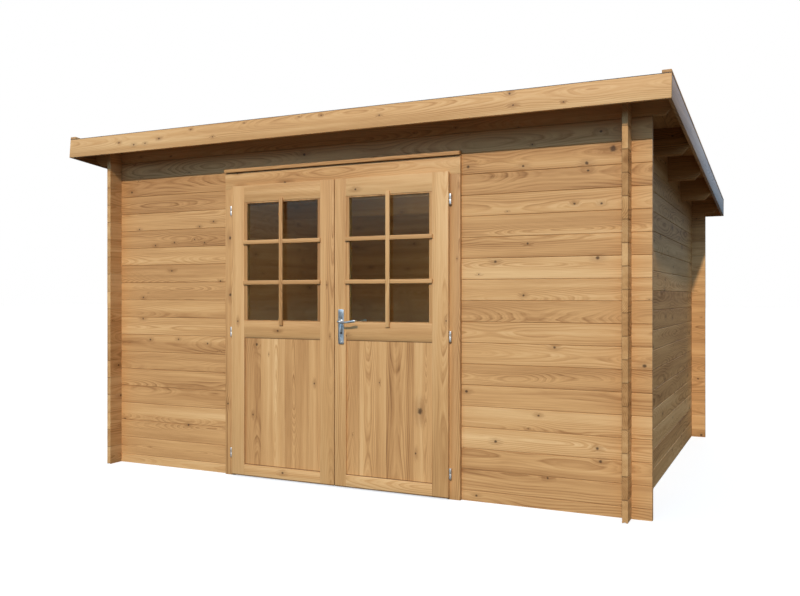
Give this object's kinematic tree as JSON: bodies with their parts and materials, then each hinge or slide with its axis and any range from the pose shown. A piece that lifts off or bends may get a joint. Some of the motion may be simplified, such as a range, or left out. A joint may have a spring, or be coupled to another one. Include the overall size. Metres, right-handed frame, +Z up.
{
  "type": "wooden garden shed",
  "caption": "Garden shed of interlocking timber logs with a low pent roof falling to the back and a glazed double door with a lever handle.",
  "frame": {"origin": "on the ground under the middle of the roof", "axes": "+X to the right along the front wall, +Y from the front to the back, +Z up"},
  "size_m": [3.81, 3.168, 2.1607],
  "materials": {
    "log_wood": "oiled planed pine",
    "roof_wood": "oiled planed pine",
    "door_wood": "oiled planed pine",
    "felt": "mineral roofing felt",
    "glass": "clear",
    "zinc": "zinc plated",
    "handle_steel": "satin"
  },
  "bodies": {
    "shed": {"front_wall_left": "log_wood", "front_wall_right": "log_wood", "front_wall_over_door": "log_wood", "back_wall": "log_wood", "left_wall": "log_wood", "right_wall": "log_wood", "front_purlin": "roof_wood", "middle_purlin": "roof_wood", "back_purlin": "roof_wood", "roof_boards": "roof_wood", "roof_felt": "felt", "front_fascia": "roof_wood", "back_fascia": "roof_wood", "left_fascia": "roof_wood", "right_fascia": "roof_wood", "left_batten": "roof_wood", "right_batten": "roof_wood", "floor_joists": "log_wood", "floor_boards": "log_wood", "left_jamb": "door_wood", "right_jamb": "door_wood", "door_head": "door_wood", "drip_cap": "door_wood", "threshold": "door_wood", "left_frame_hinges": "zinc", "right_frame_hinges": "zinc"},
    "left_leaf": {"left_leaf_stiles": "door_wood", "left_leaf_rails": "door_wood", "left_leaf_panel": "door_wood", "left_leaf_glass": "glass", "left_leaf_glazing_beads": "door_wood", "left_leaf_hinges": "zinc"},
    "right_leaf": {"right_leaf_stiles": "door_wood", "right_leaf_rails": "door_wood", "right_leaf_panel": "door_wood", "right_leaf_glass": "glass", "right_leaf_glazing_beads": "door_wood", "right_leaf_hinges": "zinc", "handle_plates": "handle_steel"},
    "lever": {"outside_lever": "handle_steel", "inside_lever": "handle_steel", "spindle": "handle_steel"}
  },
  "joints": [
    {"name": "left_leaf_swing", "type": "hinge", "parent": "shed", "child": "left_leaf", "pos_m": [-0.73, -1.39703, 0], "axis": [0, 0, -1], "range_deg": [0, 150]},
    {"name": "right_leaf_swing", "type": "hinge", "parent": "shed", "child": "right_leaf", "pos_m": [0.73, -1.39703, 0], "axis": [0, 0, 1], "range_deg": [0, 150]},
    {"name": "lever_turn", "type": "hinge", "parent": "right_leaf", "child": "lever", "pos_m": [0.057, -1.38703, 0.962], "axis": [0, 1, 0], "range_deg": [0, 45], "stiffness_Nm_per_rad": 1.5, "springref_deg": -40.11}
  ]
}
